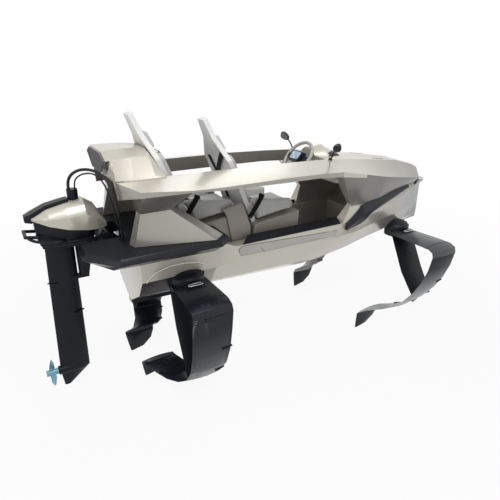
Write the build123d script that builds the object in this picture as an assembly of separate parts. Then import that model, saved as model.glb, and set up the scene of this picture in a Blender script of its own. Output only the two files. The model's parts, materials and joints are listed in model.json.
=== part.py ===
from build123d import *
import math
import os

# Electric hydrofoil boat, all sizes in millimetres.
# X runs forward from the transom, Y to port, Z up from the ground under the four foil tips.

# Hull and deck
bow_tip_x = 3560
stem_x = 3530
bow_shell_x = 1850
bonnet_end_x = 3350
tunnel_end_x = 2550
pillar_top_z = 1640
pillar_knee_x = 2075
pillar_knee_z = 1335
pillar_foot_x = 1985
gunwale_lip = 4
sill_y = 450
sill_z = 1160
deck_z = 1240
cockpit_half = 330
cockpit_aft_x = 330
cockpit_fore_x = 2350
cockpit_toe_half = 240
footwell_x = 1545
floor_gap = 2
floor_z = 900
floor_thick = 12
skin = 45

# Keel strip and battery
keel_strip_half = 45
keel_strip_drop = 12
keel_strip_end_x = 640
battery_x = 1060
battery_long = 790
battery_half = 190
battery_low_z = 770
bay_gap = 5

# Stern platform
platform_thick = 100
platform_top_z = deck_z + platform_thick
platform_slot_half = 205
platform_slot_x = -20
platform_belt = 0.55

# Side rails and tail
rail_low_z = 1665
rail_chamfer = 28
rail_lip = 8
rail_aft_y = 600
rail_inner_z = 1800
rail_sweep = 0.36
tail_low_z = 1745
quarter_inner_y = 405
bulkhead_x = 205
bulkhead_thick = 28
tail_aft_x = -140
tail_panel_thick = 12
tail_hollow_half = 205
tail_hollow_x = 150
tail_hollow_z = 1822

# Seats
seat_recline = 22
seat_back_long = 976
seat_back_thick = 48
seat_half = 235
seat_gap = 0.3
cushion_start = 12
cushion_long = 430
cushion_rise = 50
cushion_front = 118
cushion_dip = 96
cushion_back = 130
base_flare = 60
base_long = 400
base_aft = 90

# Helm
helm_x = 1748
helm_z = 1744
column_rake = 40
column_r = 26
helm_panel_x = 1890
helm_panel_thick = 35
helm_panel_low_z = 1560
hub_long = 40
hub_r = 34
rim_r = 168
rim_tube_r = 16

# Outboard motor
tilt_x = -150
tilt_z = 1320
tilt_pin_r = 16
steer_x = -350
kingpin_r = 20
running_gap = 0.1
cowl_half = 140
cowl_aft_x = -713
cap_long = 45
cowl_tuck = 6
lower_cowl_z = 1285
yoke_low_z = 985
yoke_thick = 24
tube_low_z = 1012
tube_high_z = 1264
clamp_inner_y = 92
clamp_outer_y = 110
leg_fore_x = -400
leg_half = 36
leg_foot_z = 8
gland_r = 40
gland_top_z = 1712
prop_z = 165
prop_r = 118
prop_hub_r = 26
prop_aft_x = -770
prop_fore_x = -674
part_gap = 0.3
handle_path = [(-640, 78, 1398), (-728, 74, 1412)]
handle_r = 13

# Foils
foil_thick = 30
arm_thick = 44
root_low_z = 872
root_high_z = 985
root_dome = 45
lock_rise = 34
lock_half = 60
lock_bar_r = 9
lock_stem_r = 12
lock_reach = 40

# Row columns: x, keel z, chine y, chine z, side y, side z, top y, top z
hull_rows = [
    (0, 660, 290, 830, 415, 1000, 440, deck_z),
    (640, 644, 300, 815, 425, 1000, 450, deck_z),
    (820, 640, 300, 812, 430, 1005, sill_y, sill_z),
    (bow_shell_x, 600, 285, 775, 432, 1020, sill_y, sill_z),
    (2200, 650, 260, 805, 415, 1030, 440, sill_z),
    (2550, 702, 210, 845, 340, 1050, 390, 1200),
    (2900, 758, 185, 890, 258, 1060, 278, 1235),
    (3250, 818, 92, 910, 134, 1060, 146, 1280),
    (stem_x, 856, 10, 905, 12, 1060, 14, 1290),
]

# Row columns: x, deck z, ridge y, ridge z, gunwale y, gunwale z, edge z, tuck y, tuck z
bow_rows = [
    (bow_shell_x, 1775, 300, 1765, 562, 1697, 1650, 470, 1330),
    (2200, 1742, 285, 1730, 495, 1620, 1588, 425, 1310),
    (2550, 1697, 240, 1682, 409, 1540, 1521, 345, 1290),
    (2900, 1646, 180, 1632, 300, 1470, 1455, 225, 1295),
    (3250, 1548, 105, 1536, 180, 1400, 1380, 120, 1310),
    (bonnet_end_x, 1505, 80, 1494, 140, 1390, 1362, 95, 1312),
]

# Row columns: x, inner y, inner z, outer y, outer z, outer low z, inner low z
rail_rows = [
    (0, 305, rail_inner_z, rail_aft_y, 1775, 1728, rail_low_z),
    (380, 315, rail_inner_z - 3, 632, 1744, 1726, rail_low_z + 5),
    (600, 320, rail_inner_z - 5, 642, 1740, 1714, rail_low_z + 3),
    (1200, 330, rail_inner_z - 12, 638, 1738, 1698, rail_low_z),
    (1550, 318, rail_inner_z - 22, 604, 1722, 1684, rail_low_z),
    (bow_shell_x, 300, 1765, 562, 1697, 1650, 1650),
]

# Row columns: y, z, heading in degrees (0 outboard, 90 down), trailing edge x, chord
rear_arm_rows = [
    (395, 925, 2, 225, 312),
    (700, 914, 2, 215, 334),
    (815, 907, 5, 213, 337),
    (867, 887, 48, 213, 337),
    (885, 845, 90, 213, 337),
]
rear_blade_rows = [
    (885, 845, 90, 213, 337),
    (883, 680, 91, 205, 334),
    (865, 500, 99, 200, 328),
    (812, 335, 113, 200, 318),
    (718, 202, 134, 195, 303),
    (600, 118, 155, 170, 298),
    (480, 92, 180, 112, 294),
    (385, 122, 205, 50, 288),
    (318, 166, 203, 2, 282),
    (268, 190, 165, -22, 276),
    (238, 164, 118, -24, 268),
    (226, 88, 98, -12, 222),
    (220, 22, 94, 0, 128),
    (219, 0, 92, 5, 24),
]
front_arm_rows = [
    (250, 849, 0, 2812, 300),
    (700, 856, 0, 2796, 338),
    (832, 855, 5, 2795, 340),
    (886, 833, 50, 2793, 340),
    (905, 790, 88, 2785, 340),
]
front_blade_rows = [
    (905, 790, 88, 2785, 340),
    (908, 660, 92, 2742, 334),
    (890, 530, 103, 2690, 325),
    (852, 415, 114, 2635, 314),
    (795, 310, 124, 2572, 300),
    (722, 228, 141, 2500, 290),
    (662, 200, 165, 2400, 286),
    (618, 200, 190, 2290, 285),
    (588, 208, 165, 2200, 285),
    (570, 176, 112, 2168, 280),
    (562, 95, 98, 2168, 235),
    (558, 25, 94, 2172, 140),
    (557, 0, 92, 2175, 30),
]

# Row columns: y, z, heading, trailing edge x, chord
rear_strut_rows = [(372, 900, 75, 232, 290), (480, 560, 66, 228, 278), (700, 160, 58, 222, 258)]
front_strut_rows = [(285, 850, 60, 2850, 300), (600, 533, 47, 2722, 300), (806, 326, 45, 2700, 262)]

# Row columns: end name, root x, root y, root radius, arm rows, blade rows, strut rows, root lift
foil_sets = [
    ("rear", 385, 372, 150, rear_arm_rows, rear_blade_rows, rear_strut_rows, 0),
    ("front", 2990, 225, 130, front_arm_rows, front_blade_rows, front_strut_rows, -70),
]

# Row columns: seat name, hip x, hip z
seat_rows = [("rear", 520, 1345), ("front", 1140, 1270)]

# Row columns: x, half width, low z, shoulder z, top z
cowl_rows = [
    (cowl_aft_x + cap_long, 70, 1526, 1536, 1553),
    (-560, 122, 1478, 1530, 1604),
    (-430, cowl_half, 1436, 1530, 1630),
    (-290, cowl_half, 1410, 1530, 1642),
    (-215, 122, 1402, 1490, 1590),
    (-140, 84, 1402, 1424, 1452),
]

# Row columns: x, half width, low z, top z
rear_cap_rows = [
    (cowl_aft_x, 40, 1512, 1553),
    (cowl_aft_x + cap_long, 66, 1505, 1571),
    (-560, 58, 1575, 1620),
    (-430, 54, 1600, 1646),
    (steer_x - gland_r - 2, 50, 1600, 1650),
]

# Row columns: half width, fore x, aft x, z
lower_cowl_rows = [
    (92, -262, -616, lower_cowl_z),
    (126, -240, -640, 1345),
    (128, -236, -652, 1420),
    (102, -270, -655, 1530),
]

# Row columns: z, fore x, aft x, half width
leg_rows = [
    (lower_cowl_z - part_gap, -394, -610, 44),
    (1000, leg_fore_x, -622, leg_half),
    (150, leg_fore_x - 17, -658, 30),
]
skeg_row = (leg_foot_z, -592, -642, 8)

# Row columns: radius, chord, pitch in degrees, thickness
propeller_rows = [(18, 54, 58, 12), (70, 74, 36, 8), (prop_r, 40, 22, 4)]

# Row columns: x, low z, low y, base y, base z, side y, side z, top y, top z
tail_rows = [
    (tail_aft_x, 1826, 130, 140, 1836, 285, 1945, 170, 2000),
    (-95, 1790, 320, 330, 1804, 280, 1950, 165, 2002),
    (40, tail_low_z, 345, 345, rail_inner_z, 268, 1955, 150, 2003),
    (200, tail_low_z, 345, 345, rail_inner_z, 250, 1957, 130, 1990),
    (300, tail_low_z, 345, 345, rail_inner_z, 262, 1812, 110, 1822),
]
tail_panel_half = [(0, 1838), (128, 1838), (268, 1944), (162, 1990), (0, 1990)]

# Row columns: z, then the outline as x, y
quarter_rows = [
    (platform_top_z, [(-63, quarter_inner_y), (-45, 486), (543, 650), (640, 560), (640, quarter_inner_y)]),
    (1590, [(12, quarter_inner_y), (12, 500), (240, 500), (300, 460), (300, quarter_inner_y)]),
    (1735, [(-20, quarter_inner_y), (20, 598), (400, 598), (480, 520), (480, quarter_inner_y)]),
]

# Row columns: z, then half the outline as x, y
platform_rows = [
    (deck_z, [(-380, 330), (-240, 590), (540, 620), (600, 520)]),
    (deck_z + platform_belt * platform_thick, [(-412, 440), (-212, 684), (570, 694), (690, 606)]),
    (platform_top_z, [(-383, 429), (-197, 655), (576, 670), (660, 600)]),
]

# Row columns: x, half width, mid z, top z
beak_rows = [(bonnet_end_x, 140, 1362, 1390), (stem_x - 40, 78, 1332, 1358), (bow_tip_x, 34, 1312, 1335)]

# Row columns: x, inner y, low y, low z, high y, high z, bulge
side_panel_rows = [
    (2030, 380, 462, 1085, 462, 1150, 26),
    (2235, 360, 432, 1110, 432, 1300, 34),
    (tunnel_end_x, 280, 362, 1195, 356, 1310, 30),
    (2900, 180, 248, 1250, 240, 1320, 26),
    (3180, 90, 158, 1290, 150, 1325, 12),
]

# Row columns: outer x, inner x of the two ends
tread_ends = [(885, 985), (1960, pillar_foot_x)]
tread_rise = 42
tread_lip = 5

# Row columns: x, half width, crown z
dash_rows = [(1862, 130, 1835), (1980, 185, 1862), (2170, 140, 1768)]
dash_low_z = 1730

# Columns: distance across, distance up the seat back
seat_back_half = [(seat_half, 0), (seat_half, 620), (85, 815), (58, seat_back_long)]

# Mirror: foot and head as x, y, z
mirror_foot = (1900, 300, 1752)
mirror_head = (1875, 414, 1882)
mirror_size = (46, 120, 74)
mirror_toe = 10

# Row columns: x, y, z of the points that each cable follows
power_cable_route = [
    (-372, 0, gland_top_z), (-372, 0, 1762), (-350, -28, 1822), (-298, -88, 1868), (-228, -172, 1880),
    (-168, -256, 1850), (-130, -320, 1782), (-116, -346, 1690), (-108, -350, 1590), (-92, -330, 1496),
    (-82, -314, 1412), (-82, -314, platform_top_z),
]
control_cable_route = [
    (-326, 0, gland_top_z), (-326, 0, 1752), (-308, -22, 1798), (-262, -74, 1834), (-206, -146, 1842),
    (-172, -214, 1812), (-150, -268, 1748), (-136, -298, 1664), (-122, -306, 1572), (-104, -296, 1480),
    (-96, -286, 1404), (-96, -286, platform_top_z),
]
power_cable_r = 11
control_cable_r = 6


def loop(points):
    return Wire.make_polygon([Vector(*p) for p in points], close=True)


def polygon_at_x(x, half_points):
    points = [(x, y, z) for y, z in half_points]
    points += [(x, -y, z) for y, z in reversed(half_points) if y > 0]
    return loop(points)


def level(outline, z):
    return loop([(x, y, z) for x, y in outline])


def both_sides(half):
    return half + [(x, -y) for x, y in reversed(half)]


def plate(half, low_z, high_z):
    return Solid.extrude(Face(level(both_sides(half), low_z)), Vector(0, 0, high_z - low_z))


def ruled(wires):
    return Solid.make_loft(wires, ruled=True)


def prism_y(outline, low_y, high_y):
    face = Face(loop([(x, low_y, z) for x, z in outline]))
    return Solid.extrude(face, Vector(0, high_y - low_y, 0))


def block(low, high):
    size = [h - l for l, h in zip(low, high)]
    return Pos(*low) * Box(*size, align=(Align.MIN, Align.MIN, Align.MIN))


def rod(start, end, radius):
    start, end = Vector(*start), Vector(*end)
    plane = Plane(origin=start, z_dir=end - start)
    return Solid.make_cylinder(radius, (end - start).length, plane)


def largest(shape):
    return max(shape.solids(), key=lambda s: s.volume)


# Cuts a piece by the pieces that carry it, so that it sits on them without a gap
def seated(piece, *carriers):
    for carrier in carriers:
        piece = largest(piece - carrier)
    return piece


def port_and_starboard(name, solid):
    return {name + "_port": solid, name + "_starboard": mirror(solid, about=Plane.XZ)}


# Half outline of the cockpit floor, which narrows towards the driver's toes
def cockpit_plan(aft_x, gap):
    half, toe_half = cockpit_half - gap, cockpit_toe_half - gap
    return [(aft_x, half), (bow_shell_x, half), (cockpit_fore_x - gap, toe_half)]


# Hull with its cockpit well and battery bay
def make_hull():
    wires = []
    for x, keel_z, chine_y, chine_z, side_y, side_z, top_y, top_z in hull_rows:
        half = [(0, keel_z), (chine_y, chine_z), (side_y, side_z), (top_y, top_z)]
        wires.append(polygon_at_x(x, half))
    well = plate(cockpit_plan(cockpit_aft_x, 0), floor_z, deck_z + skin)
    bay_half = battery_half + bay_gap
    bay = block((battery_x - bay_gap, -bay_half, battery_low_z),
                (battery_x + battery_long + bay_gap, bay_half, floor_z))
    return largest(ruled(wires) - well - bay)


def hull_top(x):
    for aft, fore in zip(hull_rows, hull_rows[1:]):
        if aft[0] <= x <= fore[0]:
            share = (x - aft[0]) / (fore[0] - aft[0])
            return aft[6] + share * (fore[6] - aft[6]), aft[7] + share * (fore[7] - aft[7])
    return hull_rows[-1][6], hull_rows[-1][7]


def make_keel_strip(hull):
    rows = [r for r in hull_rows if r[0] <= keel_strip_end_x]
    low = [(r[0], r[1] - keel_strip_drop) for r in rows]
    high = [(r[0], r[1] + keel_strip_half) for r in reversed(rows)]
    return seated(prism_y(low + high, -keel_strip_half, keel_strip_half), hull)


def make_battery():
    return block((battery_x, -battery_half, battery_low_z + part_gap),
                 (battery_x + battery_long, battery_half, floor_z - bay_gap))


def make_floor():
    return plate(cockpit_plan(footwell_x, floor_gap), floor_z, floor_z + floor_thick)


# Bow shell with its raked pillars, leg tunnel and helm panel
def make_bow_shell():
    outer = []
    inner = []
    for x, deck, ridge_y, ridge_z, gun_y, gun_z, edge_z, tuck_y, tuck_z in bow_rows:
        outer.append(polygon_at_x(x, [(0, deck), (ridge_y, ridge_z), (gun_y, gun_z),
                                      (gun_y - gunwale_lip, edge_z), (tuck_y, tuck_z), hull_top(x)]))
        if x <= tunnel_end_x:
            inner_y = tuck_y - skin
            inner.append(polygon_at_x(x, [(0, deck - skin), (ridge_y - skin, ridge_z - skin),
                                          (inner_y, edge_z - skin), (inner_y - skin / 3, tuck_z),
                                          (cockpit_half, hull_top(x)[1])]))
    tunnel = ruled(inner)
    mouth_x = bow_shell_x - skin
    opening = prism_y([(mouth_x, pillar_top_z), (bow_shell_x + skin / 4, pillar_top_z),
                       (pillar_knee_x, pillar_knee_z), (pillar_foot_x, sill_z), (mouth_x, sill_z)],
                      -2 * sill_y, 2 * sill_y)
    panel = block((helm_panel_x, -sill_y, helm_panel_low_z),
                  (helm_panel_x + helm_panel_thick, sill_y, rail_inner_z))
    return largest(ruled(outer) - tunnel - opening + (tunnel & panel))


def make_beak(hull):
    wires = []
    for x, half, mid_z, top_z in beak_rows:
        low_z = hull_top(x)[1]
        wires.append(polygon_at_x(x, [(0, low_z), (0.7 * half, low_z), (half, mid_z), (0.9 * half, top_z),
                                      (0, top_z)]))
    return seated(ruled(wires), hull)


# Dark blade-shaped insert under the gunwale
def make_side_panel(hull, bow_shell):
    wires = []
    for x, inner_y, low_y, low_z, high_y, high_z, bulge in side_panel_rows:
        middle = (x, (low_y + high_y) / 2 + bulge, (low_z + high_z) / 2)
        wires.append(loop([(x, inner_y, low_z), (x, low_y, low_z), middle, (x, high_y, high_z),
                           (x, inner_y, high_z)]))
    return seated(ruled(wires), hull, bow_shell)


def make_tread():
    outer_y, inner_y = sill_y - tread_lip, cockpit_half + 4 * tread_lip
    wires = []
    for outer_x, inner_x in tread_ends:
        wires.append(loop([(outer_x, outer_y, sill_z), (outer_x, outer_y, sill_z + tread_lip),
                           (inner_x, inner_y, sill_z + tread_rise), (inner_x, inner_y, sill_z)]))
    return ruled(wires)


# Side rails, with the aft end swept back towards the middle
def make_rail():
    wires = []
    for x, inner_y, inner_z, outer_y, outer_z, outer_low_z, inner_low_z in rail_rows:
        corners = [(inner_y, inner_z), (outer_y, outer_z), (outer_y - rail_lip, outer_low_z),
                   (inner_y + rail_chamfer, inner_low_z)]
        sweep_back = rail_sweep if x == 0 else 0
        wires.append(loop([(x - sweep_back * (outer_y - y), y, z) for y, z in corners]))
    return ruled(wires)


def make_quarter(rail):
    return seated(ruled([level(outline, z) for z, outline in quarter_rows]), rail)


def make_bulkhead():
    return block((bulkhead_x, -quarter_inner_y, platform_top_z),
                 (bulkhead_x + bulkhead_thick, quarter_inner_y, rail_low_z))


# Stern platform with its faceted edge and the slot for the motor
def make_platform():
    shape = ruled([level(both_sides(half), z) for z, half in platform_rows])
    low_z, high_z = deck_z - skin, platform_top_z + skin
    aft_x, fore_x = platform_rows[1][1][0][0] - skin, platform_rows[1][1][-1][0] + skin
    slot = block((aft_x, -platform_slot_half, low_z), (platform_slot_x, platform_slot_half, high_z))
    well = block((cockpit_aft_x, -cockpit_half, low_z), (fore_x, cockpit_half, high_z))
    return largest(shape - slot - well)


# Tail fairing between the rails, hollow below for the tilted motor
def make_tail(rails):
    wires = []
    for x, low_z, low_y, base_y, base_z, side_y, side_z, top_y, top_z in tail_rows:
        wires.append(polygon_at_x(x, [(0, low_z), (low_y, low_z), (base_y, base_z), (side_y, side_z),
                                      (top_y, top_z), (0, top_z)]))
    lean = math.radians(seat_recline)
    hip_x, hip_z = seat_rows[0][1:]
    back_x = hip_x - seat_back_thick / math.cos(lean) - seat_gap
    high_x, high_z = back_x - math.sin(lean) * seat_back_long, hip_z + math.cos(lean) * seat_back_long
    front = prism_y([(back_x, hip_z), (high_x, high_z), (helm_x, high_z), (helm_x, hip_z)],
                    -quarter_inner_y, quarter_inner_y)
    hollow = block((tail_aft_x - skin, -tail_hollow_half, tail_low_z - skin),
                   (tail_hollow_x, tail_hollow_half, tail_hollow_z))
    return seated(ruled(wires), front, hollow, *rails)


def make_tail_panel():
    return Solid.extrude(Face(polygon_at_x(tail_aft_x, tail_panel_half)), Vector(-tail_panel_thick, 0, 0))


# Seats
def make_seat_back(hip_x, hip_z):
    lean = math.radians(seat_recline)
    up = Vector(-math.sin(lean), 0, math.cos(lean))
    aft = Vector(-math.cos(lean), 0, -math.sin(lean))
    outline = seat_back_half + [(-y, s) for y, s in reversed(seat_back_half)]
    points = [Vector(hip_x, 0, hip_z) + up * s + Vector(0, y, 0) for y, s in outline]
    return Solid.extrude(Face(loop(points)), aft * seat_back_thick)


def make_seat_cushion(hip_x, hip_z):
    low_x = hip_x + cushion_start
    end_x = low_x + cushion_long
    outline = [(low_x, hip_z), (end_x, hip_z + cushion_rise), (end_x + 6, hip_z + cushion_front),
               (low_x + 60, hip_z + cushion_dip), (low_x - 30, hip_z + cushion_back)]
    return prism_y(outline, -seat_half, seat_half)


def make_seat_base(hip_x, hip_z):
    low_x = hip_x + cushion_start
    top_z = hip_z - seat_gap
    back_drop = seat_back_thick * math.tan(math.radians(seat_recline))
    outline = [(hip_x - base_aft, floor_z), (hip_x + base_long, floor_z),
               (low_x + cushion_long, top_z + cushion_rise), (low_x, top_z), (hip_x, top_z),
               (hip_x - seat_back_thick, top_z - back_drop)]
    return prism_y(outline, -seat_half - base_flare, seat_half + base_flare)


# Helm
def along_column(distance):
    rake = math.radians(column_rake)
    return Vector(helm_x, 0, helm_z) + Vector(math.cos(rake), 0, -math.sin(rake)) * distance


def make_dash(bow_shell):
    wires = []
    for x, half, crown_z in dash_rows:
        left, right = Vector(x, half, dash_low_z), Vector(x, -half, dash_low_z)
        arc = Edge.make_three_point_arc(left, Vector(x, 0, crown_z), right)
        wires.append(Wire([arc, Edge.make_line(right, left)]))
    return seated(ruled(wires), bow_shell)


def make_column(bow_shell):
    reach = (helm_panel_x + helm_panel_thick / 2 - helm_x) / math.cos(math.radians(column_rake))
    return seated(rod(along_column(hub_long), along_column(reach), column_r), bow_shell)


def make_wheel():
    plane = Plane(origin=along_column(0), x_dir=(0, 1, 0), z_dir=along_column(1) - along_column(0))
    wheel = plane * Torus(rim_r, rim_tube_r)
    wheel += plane * Box(2 * rim_r, 46, 18)
    wheel += plane * Box(150, 110, 34)
    wheel += plane * Pos(0, 0, hub_long / 2) * Cylinder(hub_r, hub_long - part_gap)
    return largest(wheel)


def make_mirror(bow_shell):
    foot = seated(Pos(*mirror_foot) * Cylinder(22, 44), bow_shell)
    stalk = rod(Vector(*mirror_foot) + Vector(0, 0, 16), Vector(*mirror_head) - Vector(-5, 10, 14), 8)
    head = Pos(*mirror_head) * Rot(0, 0, mirror_toe) * Box(*mirror_size)
    return seated(foot + stalk + head, bow_shell)


# Foils
def foil_wire(row, thick):
    y, z, heading, trail_x, chord = row
    turn = math.radians(heading)
    normal = Vector(0, math.sin(turn), math.cos(turn))
    tail = Vector(trail_x, y, z)
    nose = Vector(trail_x + chord, y, z)
    belly = Vector(trail_x + 0.58 * chord, y, z)
    half = min(thick / 2, chord * 0.2)
    nose_half = normal * (half * 0.35)
    upper = Edge.make_three_point_arc(tail, belly + normal * half, nose + nose_half)
    front = Edge.make_line(nose + nose_half, nose - nose_half)
    lower = Edge.make_three_point_arc(nose - nose_half, belly - normal * half, tail)
    return Wire([upper, front, lower])


def make_foil(rows, thick):
    return ruled([foil_wire(row, thick) for row in rows])


def make_root(x, y, root_r, lift, hull, arm):
    low, high = root_low_z + lift, root_high_z + lift
    foot, rim = Vector(x + root_r, y, low), Vector(x + root_r, y, high)
    crown, base = Vector(x, y, high + root_dome), Vector(x, y, low)
    shoulder = Vector(x + 0.72 * root_r, y, high + 0.7 * root_dome)
    profile = Wire([Edge.make_line(base, foot), Edge.make_line(foot, rim),
                    Edge.make_three_point_arc(rim, shoulder, crown), Edge.make_line(crown, base)])
    return seated(Solid.revolve(Face(profile), 360, Axis((x, y, 0), (0, 0, 1))), hull, arm)


def make_lock(x, y, z, arm):
    bar_z = z + lock_rise
    bar = rod((x - lock_half, y, bar_z), (x + lock_half, y, bar_z), lock_bar_r)
    stem = rod((x, y, z), (x, y, bar_z), lock_stem_r)
    return seated(bar + stem, arm)


# Outboard motor
def make_clamp():
    plate = [(-8, 1060), (-8, 1225), (tilt_x + 30, tilt_z + 18), (tilt_x, tilt_z + 32),
             (tilt_x - 28, tilt_z + 14), (tilt_x - 28, tilt_z - 20), (-90, 1070)]
    plates = prism_y(plate, clamp_inner_y, clamp_outer_y) + prism_y(plate, -clamp_outer_y, -clamp_inner_y)
    pad = block((-30, -clamp_outer_y, 1050), (0, clamp_outer_y, 1232))
    pin_half = clamp_outer_y + 8
    pin = rod((tilt_x, -pin_half, tilt_z), (tilt_x, pin_half, tilt_z), tilt_pin_r)
    return largest(pad + plates + pin)


def make_swivel():
    outline = [(tilt_x + 16, tilt_z + 30), (tilt_x - 20, tilt_z + 36), (-240, tube_high_z),
               (steer_x, tube_high_z), (steer_x, tube_low_z), (-318, tube_low_z), (-280, 1180),
               (tilt_x - 4, tilt_z - 38), (tilt_x + 24, tilt_z - 20)]
    arm = prism_y(outline, -46, 46)
    barrel_half = clamp_inner_y - 0.5
    barrel = rod((tilt_x, -barrel_half, tilt_z), (tilt_x, barrel_half, tilt_z), 34)
    tube = rod((steer_x, 0, tube_low_z), (steer_x, 0, tube_high_z), 40)
    pin_bore_r = tilt_pin_r + running_gap
    pin_bore = rod((tilt_x, -clamp_outer_y, tilt_z), (tilt_x, clamp_outer_y, tilt_z), pin_bore_r)
    steer_bore = rod((steer_x, 0, yoke_low_z), (steer_x, 0, lower_cowl_z), kingpin_r + running_gap)
    return largest(arm + barrel + tube - pin_bore - steer_bore)


def make_cowl():
    wires = []
    for x, half, low_z, shoulder_z, top_z in cowl_rows:
        left, right = Vector(x, half, shoulder_z), Vector(x, -half, shoulder_z)
        left_low, right_low = Vector(x, half - cowl_tuck, low_z), Vector(x, cowl_tuck - half, low_z)
        arc = Edge.make_three_point_arc(left, Vector(x, 0, top_z), right)
        wires.append(Wire([arc, Edge.make_line(right, right_low), Edge.make_line(right_low, left_low),
                           Edge.make_line(left_low, left)]))
    return ruled(wires)


def make_lower_cowl(cowl):
    wires = []
    for half, fore_x, aft_x, z in lower_cowl_rows:
        side = [(fore_x, 0.6 * half), (fore_x - 60, half), (aft_x + 110, 0.95 * half), (aft_x, 0.5 * half)]
        wires.append(level(both_sides(side), z))
    return seated(ruled(wires), cowl)


# Black tail cap, running on as a strip along the crown of the cowl
def make_rear_cap(cowl, lower_cowl):
    wires = []
    for x, half, low_z, top_z in rear_cap_rows:
        wires.append(polygon_at_x(x, [(0, low_z), (half, low_z), (0.8 * half, top_z), (0, top_z)]))
    return seated(ruled(wires), cowl, lower_cowl)


def make_handle(lower_cowl):
    bow = [(x, side * y, z) for side, path in ((1, handle_path), (-1, handle_path[::-1])) for x, y, z in path]
    loops = [rod(a, b, handle_r) for a, b in zip(bow, bow[1:])]
    corners = [Pos(*p) * Sphere(handle_r) for p in bow[1:3]]
    return seated(Part() + loops + corners, lower_cowl)


def leg_wire(z, fore_x, aft_x, half):
    nose, tail = Vector(fore_x, 0, z), Vector(aft_x, 0, z)
    belly = fore_x + 0.38 * (aft_x - fore_x)
    left = Edge.make_three_point_arc(nose, Vector(belly, half, z), tail)
    right = Edge.make_three_point_arc(tail, Vector(belly, -half, z), nose)
    return Wire([left, right])


def make_leg():
    leg = ruled([leg_wire(*row) for row in leg_rows])
    skeg = ruled([leg_wire(*leg_rows[-1]), leg_wire(*skeg_row)])
    pod = rod((-470, 0, prop_z), (prop_fore_x + part_gap, 0, prop_z), 38)
    kingpin = rod((steer_x, 0, yoke_low_z), (steer_x, 0, lower_cowl_z - part_gap), kingpin_r)
    yoke = block((leg_fore_x - 60, -30, yoke_low_z), (steer_x + 34, 30, yoke_low_z + yoke_thick))
    return largest(leg + skeg + pod + kingpin + yoke)


def make_propeller():
    prop = rod((prop_fore_x, 0, prop_z), (prop_aft_x, 0, prop_z), prop_hub_r)
    for turn in (0, 120, 240):
        wires = []
        for radius, chord, pitch, thick in propeller_rows:
            lean = math.radians(pitch)
            along = Vector(math.sin(lean), math.cos(lean), 0) * (chord / 2)
            across = Vector(math.cos(lean), -math.sin(lean), 0) * (thick / 2)
            middle = Vector((prop_fore_x + prop_aft_x) / 2, 0, prop_z + radius)
            wires.append(loop([middle - along, middle + across, middle + along, middle - across]))
        prop += ruled(wires).rotate(Axis((0, 0, prop_z), (1, 0, 0)), turn)
    return largest(prop)


def make_gland(cowl):
    return seated(rod((steer_x, 0, 1600), (steer_x, 0, gland_top_z), gland_r), cowl)


def make_cable(route, radius):
    points = [Vector(*p) for p in route]
    radii = []
    for before, corner, after in zip(points, points[1:], points[2:]):
        run_in, run_out = corner - before, after - corner
        turn = math.radians(run_in.get_angle(run_out))
        radii.append(0.45 * min(run_in.length, run_out.length) / math.tan(turn / 2))
    path = FilletPolyline(*points, radius=radii)
    start = Plane(origin=points[0], z_dir=points[1] - points[0])
    print("cable length", round(path.length))
    return sweep(start * Circle(radius), path=path.wire())


nodes = {}
hull = make_hull()
bow_shell = make_bow_shell()
nodes["hull"] = hull
nodes["keel_strip"] = make_keel_strip(hull)
nodes["battery_block"] = make_battery()
nodes["cockpit_floor"] = make_floor()
nodes["bow_shell"] = bow_shell
nodes["bow_beak"] = make_beak(hull)
nodes.update(port_and_starboard("side_panel", make_side_panel(hull, bow_shell)))
nodes.update(port_and_starboard("tread", make_tread()))
rail = make_rail()
nodes.update(port_and_starboard("rail", rail))
nodes.update(port_and_starboard("quarter", make_quarter(rail)))
nodes["bulkhead"] = make_bulkhead()
nodes["stern_platform"] = make_platform()
for seat, hip_x, hip_z in seat_rows:
    nodes["seat_base_" + seat] = make_seat_base(hip_x, hip_z)
    nodes["seat_back_" + seat] = make_seat_back(hip_x, hip_z)
    nodes["seat_cushion_" + seat] = make_seat_cushion(hip_x, hip_z)
nodes["tail_fairing"] = make_tail([nodes["rail_port"], nodes["rail_starboard"]])
nodes["tail_end_panel"] = make_tail_panel()
nodes["dash"] = make_dash(bow_shell)
nodes["steering_column"] = make_column(bow_shell)
nodes["steering_wheel"] = make_wheel()
nodes.update(port_and_starboard("mirror", make_mirror(bow_shell)))
roots = []
locks = []
for end, root_x, root_y, root_r, arm_rows, blade_rows, strut_rows, lift in foil_sets:
    arm = make_foil(arm_rows, arm_thick)
    blade = make_foil(blade_rows, foil_thick)
    root = make_root(root_x, root_y, root_r, lift, hull, arm)
    strut = seated(make_foil(strut_rows, foil_thick), root, blade, arm)
    lock = make_lock(root_x, root_y + root_r + lock_reach, arm_rows[0][1], arm)
    nodes.update(port_and_starboard("foil_arm_" + end, arm))
    nodes.update(port_and_starboard("foil_blade_" + end, blade))
    nodes.update(port_and_starboard("foil_strut_" + end, strut))
    roots += [root, mirror(root, about=Plane.XZ)]
    locks += [lock, mirror(lock, about=Plane.XZ)]
nodes["foil_roots"] = Compound(roots)
nodes["foil_locks"] = Compound(locks)
nodes["clamp_bracket"] = make_clamp()
nodes["swivel_bracket"] = make_swivel()
cowl = make_cowl()
nodes["cowl"] = cowl
nodes["lower_cowl"] = make_lower_cowl(cowl)
nodes["rear_cap"] = make_rear_cap(cowl, nodes["lower_cowl"])
nodes["carry_handle"] = make_handle(nodes["lower_cowl"])
nodes["leg"] = make_leg()
nodes["propeller"] = make_propeller()
nodes["cable_gland"] = make_gland(cowl)
nodes["power_cable"] = make_cable(power_cable_route, power_cable_r)
nodes["control_cable"] = make_cable(control_cable_route, control_cable_r)

centre = Pos(-(bow_tip_x + prop_aft_x) / 2, 0, 0)
os.makedirs("parts", exist_ok=True)
for name, shape in nodes.items():
    export_step(centre * shape, "parts/" + name + ".step")
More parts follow.
